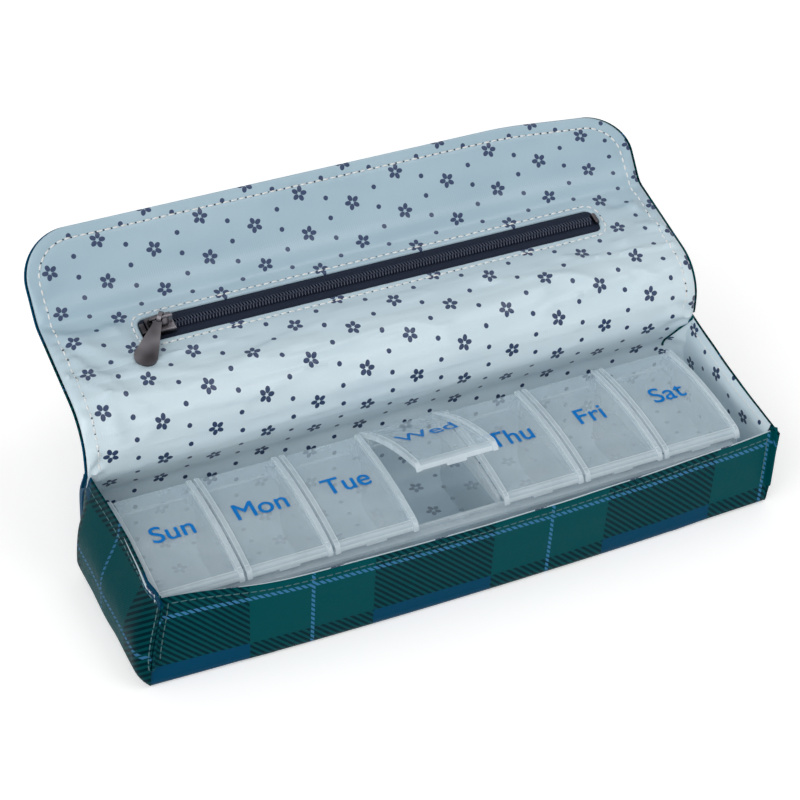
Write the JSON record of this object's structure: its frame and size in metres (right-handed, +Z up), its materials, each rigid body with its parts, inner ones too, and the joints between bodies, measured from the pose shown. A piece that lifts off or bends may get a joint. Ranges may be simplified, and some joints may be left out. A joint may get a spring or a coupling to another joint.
{
  "type": "pill organizer",
  "caption": "Weekly pill organizer: moulded compartment tray with arched day lids, in a padded fabric case with a fold-over flap and a zip pocket.",
  "frame": {"origin": "centre of the underside, on the surface that it stands on", "axes": "+X along the case to the user's right, +Y to the back, +Z up"},
  "size_m": [0.2262, 0.121, 0.1027],
  "materials": {
    "shell": "satin",
    "lining": "satin",
    "padding": "matte",
    "board": "matte",
    "magnet": "satin",
    "zip_tape": "matte",
    "zip_chain": "satin",
    "zip_metal": "polished",
    "tray": "satin",
    "lid": "satin"
  },
  "bodies": {
    "case": {"case_shell": "shell", "left_end_shell": "shell", "right_end_shell": "shell", "base_board": "board", "case_padding": "padding", "left_end_padding": "padding", "right_end_padding": "padding", "case_lining": "lining", "left_end_lining": "lining", "right_end_lining": "lining", "case_magnets": "magnet"},
    "flap_rear": {"riser_shell": "shell", "riser_padding": "padding", "riser_lining": "lining"},
    "flap_mid": {"zip_panel_shell": "shell", "zip_panel_padding": "padding", "zip_panel_lining": "lining", "pocket_bag": "lining", "zip_tapes": "zip_tape", "zip_chain": "zip_chain", "zip_stops": "zip_metal"},
    "flap_front": {"front_flap_shell": "shell", "front_flap_board": "board", "front_flap_lining": "lining", "flap_magnets": "magnet"},
    "slider": {"zip_slider": "zip_metal"},
    "pull": {"zip_pull": "zip_metal"},
    "tray": {"pill_tray": "tray"},
    "lid_sunday": {"lid_sunday": "lid"},
    "lid_monday": {"lid_monday": "lid"},
    "lid_tuesday": {"lid_tuesday": "lid"},
    "lid_wednesday": {"lid_wednesday": "lid"},
    "lid_thursday": {"lid_thursday": "lid"},
    "lid_friday": {"lid_friday": "lid"},
    "lid_saturday": {"lid_saturday": "lid"}
  },
  "joints": [
    {"name": "riser_fold", "type": "hinge", "parent": "case", "child": "flap_rear", "pos_m": [0, 0.02157, 0.04642], "axis": [-1, 0, 0], "range_deg": [-83, 50]},
    {"name": "zip_panel_fold", "type": "hinge", "parent": "flap_rear", "child": "flap_mid", "pos_m": [0, 0.02094, 0.06441], "axis": [-1, 0, 0], "range_deg": [-90, 10]},
    {"name": "front_flap_fold", "type": "hinge", "parent": "flap_mid", "child": "flap_front", "pos_m": [0, 0.06429, 0.07766], "axis": [-1, 0, 0], "range_deg": [-42, 38]},
    {"name": "zip_slide", "type": "slide", "parent": "flap_mid", "child": "slider", "axis": [1, 0, 0], "range_m": [0, 0.1571]},
    {"name": "pull_swing", "type": "hinge", "parent": "slider", "child": "pull", "pos_m": [-0.07475, 0.05073, 0.07926], "axis": [-1, 0, 0], "range_deg": [0, 115]},
    {"name": "tray_lift", "type": "slide", "parent": "case", "child": "tray", "axis": [0, 0, 1], "range_m": [0, 0.05]},
    {"name": "sunday_hinge", "type": "hinge", "parent": "tray", "child": "lid_sunday", "pos_m": [-0.094, 0.015, 0.0325], "axis": [-1, 0, 0], "range_deg": [0, 84]},
    {"name": "monday_hinge", "type": "hinge", "parent": "tray", "child": "lid_monday", "pos_m": [-0.064, 0.015, 0.0325], "axis": [-1, 0, 0], "range_deg": [0, 84]},
    {"name": "tuesday_hinge", "type": "hinge", "parent": "tray", "child": "lid_tuesday", "pos_m": [-0.034, 0.015, 0.0325], "axis": [-1, 0, 0], "range_deg": [0, 84]},
    {"name": "wednesday_hinge", "type": "hinge", "parent": "tray", "child": "lid_wednesday", "pos_m": [-0.004, 0.015, 0.0325], "axis": [-1, 0, 0], "range_deg": [-26, 58]},
    {"name": "thursday_hinge", "type": "hinge", "parent": "tray", "child": "lid_thursday", "pos_m": [0.026, 0.015, 0.0325], "axis": [-1, 0, 0], "range_deg": [0, 84]},
    {"name": "friday_hinge", "type": "hinge", "parent": "tray", "child": "lid_friday", "pos_m": [0.056, 0.015, 0.0325], "axis": [-1, 0, 0], "range_deg": [0, 84]},
    {"name": "saturday_hinge", "type": "hinge", "parent": "tray", "child": "lid_saturday", "pos_m": [0.086, 0.015, 0.0325], "axis": [-1, 0, 0], "range_deg": [0, 84]}
  ]
}
